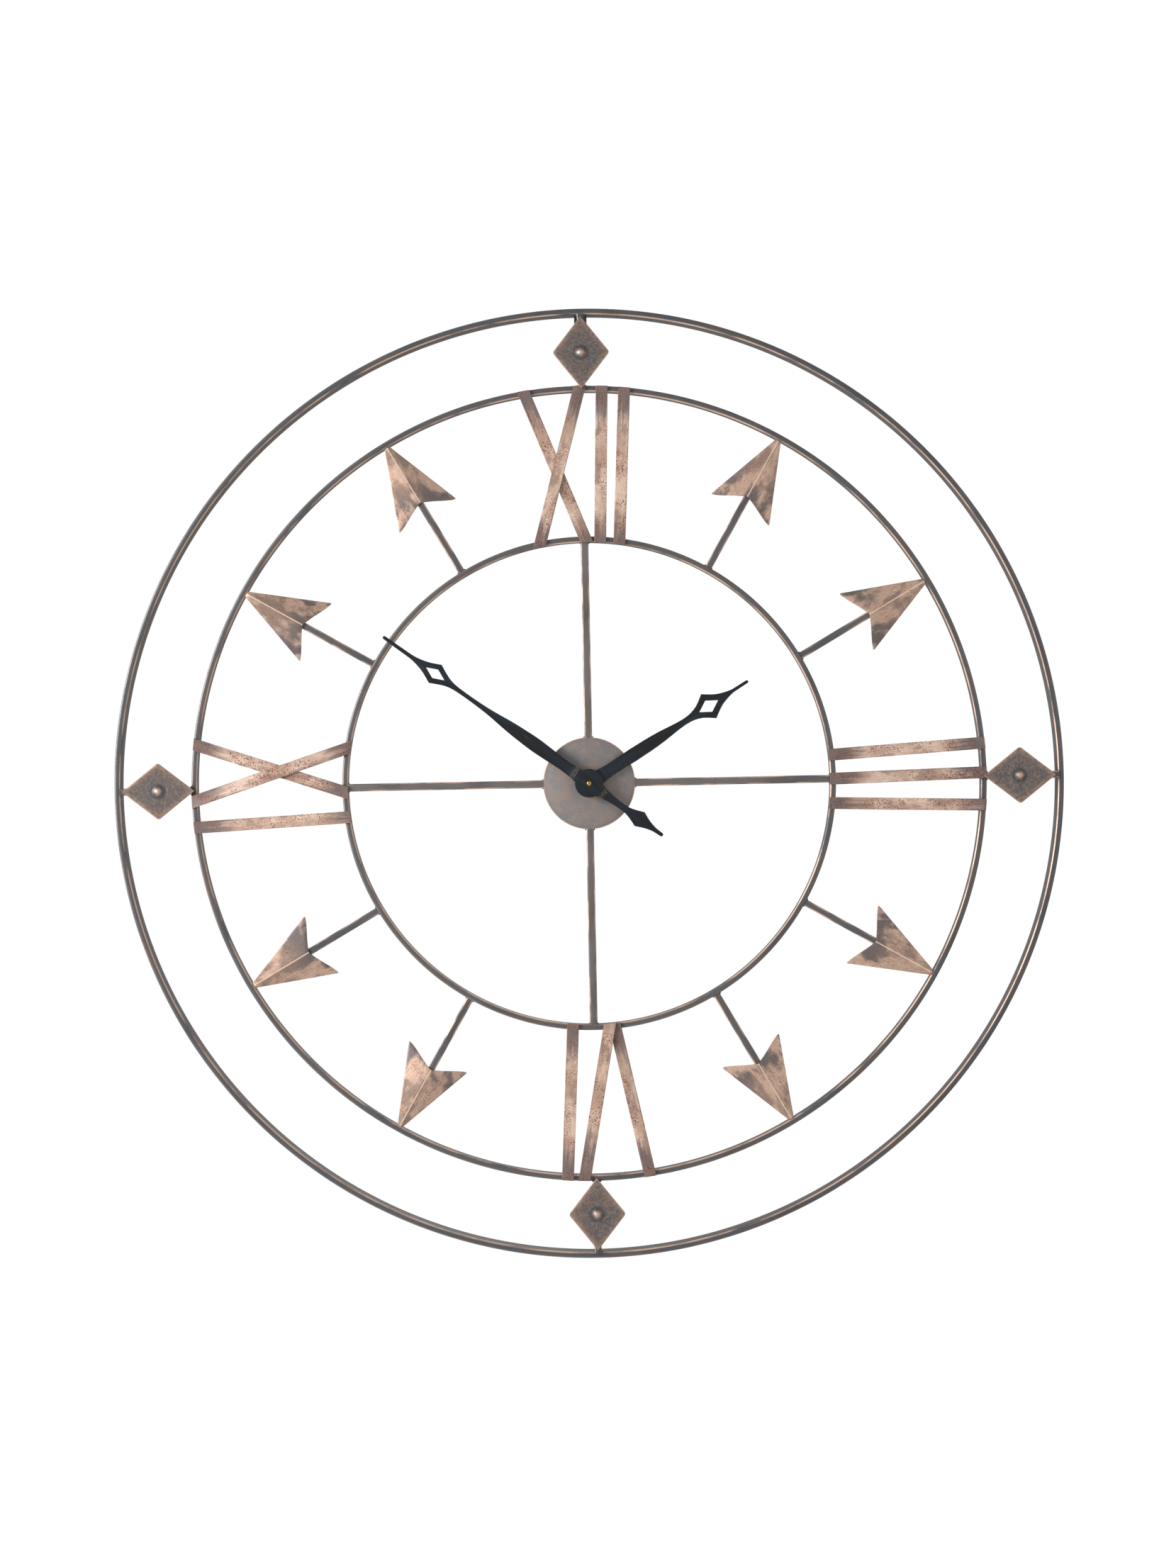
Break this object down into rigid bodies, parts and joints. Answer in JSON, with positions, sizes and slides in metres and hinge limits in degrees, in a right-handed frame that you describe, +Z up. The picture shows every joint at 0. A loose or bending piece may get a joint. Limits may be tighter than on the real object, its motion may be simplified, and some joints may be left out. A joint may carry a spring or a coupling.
{
  "type": "wall clock",
  "caption": "Large open-frame iron wall clock: concentric flat-bar rings, bar Roman numerals, arrowhead and diamond hour markers, blued hands on a quartz movement.",
  "frame": {"origin": "the point of the wall behind the middle of the dial: on the dial axis, in the plane of the outer ring's back face", "axes": "+Z up, +X to the right seen from the front, dial facing -Y, wall on the +Y side"},
  "size_m": [0.8, 0.0305, 0.8],
  "materials": {
    "slate_iron": "slate-grey bronze lacquer, rubbed to copper on its edges",
    "copper_wash": "pale copper wash, brushed on, speckled dark red-brown",
    "bronze_plate": "dark bronze lacquer with copper-rubbed edges and boss",
    "blued_hand": "blue-black satin lacquer",
    "brass": "turned brass",
    "case_plastic": "moulded black plastic",
    "white_nylon": "moulded natural nylon",
    "magnet_steel": "plated magnet",
    "soft_iron": "annealed soft iron sheet",
    "copper_wire": "enamelled copper winding",
    "circuit_board": "green solder mask",
    "rubber": "black rubber",
    "cell_jacket": "printed steel jacket, no lettering"
  },
  "bodies": {
    "frame": {"outer_ring": "slate_iron", "middle_ring": "slate_iron", "inner_ring": "slate_iron", "dial_disc": "slate_iron", "spoke_12": "slate_iron", "spoke_3": "slate_iron", "spoke_6": "slate_iron", "spoke_9": "slate_iron", "numeral_12_x_back": "copper_wash", "numeral_12_x_front": "copper_wash", "numeral_12_i_left": "copper_wash", "numeral_12_i_right": "copper_wash", "numeral_3_i_top": "copper_wash", "numeral_3_i_middle": "copper_wash", "numeral_3_i_bottom": "copper_wash", "numeral_6_i": "copper_wash", "numeral_6_v_front": "copper_wash", "numeral_6_v_back": "copper_wash", "numeral_9_x_back": "copper_wash", "numeral_9_x_front": "copper_wash", "numeral_9_i": "copper_wash", "arrow_shaft_1": "slate_iron", "arrow_shaft_2": "slate_iron", "arrow_shaft_4": "slate_iron", "arrow_shaft_5": "slate_iron", "arrow_shaft_7": "slate_iron", "arrow_shaft_8": "slate_iron", "arrow_shaft_10": "slate_iron", "arrow_shaft_11": "slate_iron", "arrowhead_1": "copper_wash", "arrowhead_2": "copper_wash", "arrowhead_4": "copper_wash", "arrowhead_5": "copper_wash", "arrowhead_7": "copper_wash", "arrowhead_8": "copper_wash", "arrowhead_10": "copper_wash", "arrowhead_11": "copper_wash", "diamond_12": "bronze_plate", "diamond_3": "bronze_plate", "diamond_6": "bronze_plate", "diamond_9": "bronze_plate", "wall_hanger": "slate_iron", "movement_case": "case_plastic", "back_cover": "case_plastic", "threaded_bush": "brass", "hex_nut": "brass", "rubber_washer": "rubber", "stator": "soft_iron", "coil": "copper_wire", "circuit_board": "circuit_board", "battery_cell": "cell_jacket"},
    "minute_hand": {"minute_hand": "blued_hand", "minute_arbor": "brass"},
    "hour_hand": {"hour_hand": "blued_hand", "hour_wheel": "brass"},
    "motion_wheel": {"motion_wheel": "white_nylon"},
    "third_wheel": {"third_wheel": "white_nylon"},
    "second_wheel": {"second_wheel": "white_nylon"},
    "rotor": {"rotor": "magnet_steel"},
    "setting_knob": {"setting_knob": "white_nylon"}
  },
  "joints": [
    {"name": "minute_hand_turn", "type": "hinge", "parent": "frame", "child": "minute_hand", "pos_m": [0, -0.02, 0], "axis": [0, 1, 0], "continuous": true},
    {"name": "hour_hand_turn", "type": "hinge", "parent": "frame", "child": "hour_hand", "pos_m": [0, -0.02, 0], "axis": [0, 1, 0], "continuous": true},
    {"name": "motion_wheel_turn", "type": "hinge", "parent": "frame", "child": "motion_wheel", "pos_m": [-0.00848, -0.013, 0.00848], "axis": [0, 1, 0], "continuous": true},
    {"name": "setting_knob_turn", "type": "hinge", "parent": "frame", "child": "setting_knob", "pos_m": [-0.01448, -0.01, 0.01888], "axis": [0, 1, 0], "continuous": true},
    {"name": "third_wheel_turn", "type": "hinge", "parent": "frame", "child": "third_wheel", "pos_m": [0.00979, -0.01, 0.00456], "axis": [0, 1, 0], "continuous": true},
    {"name": "second_wheel_turn", "type": "hinge", "parent": "frame", "child": "second_wheel", "pos_m": [0.00623, -0.01, 0.01434], "axis": [0, 1, 0], "continuous": true},
    {"name": "rotor_turn", "type": "hinge", "parent": "frame", "child": "rotor", "pos_m": [0.01647, -0.01, 0.01614], "axis": [0, 1, 0], "continuous": true}
  ],
  "couplings": [
    {"joint": "hour_hand_turn", "follows": "minute_hand_turn", "ratio": 0.083333},
    {"joint": "motion_wheel_turn", "follows": "minute_hand_turn", "ratio": -0.33333},
    {"joint": "setting_knob_turn", "follows": "minute_hand_turn", "ratio": 1},
    {"joint": "third_wheel_turn", "follows": "minute_hand_turn", "ratio": -12.5},
    {"joint": "second_wheel_turn", "follows": "minute_hand_turn", "ratio": 150},
    {"joint": "rotor_turn", "follows": "minute_hand_turn", "ratio": -1800}
  ]
}
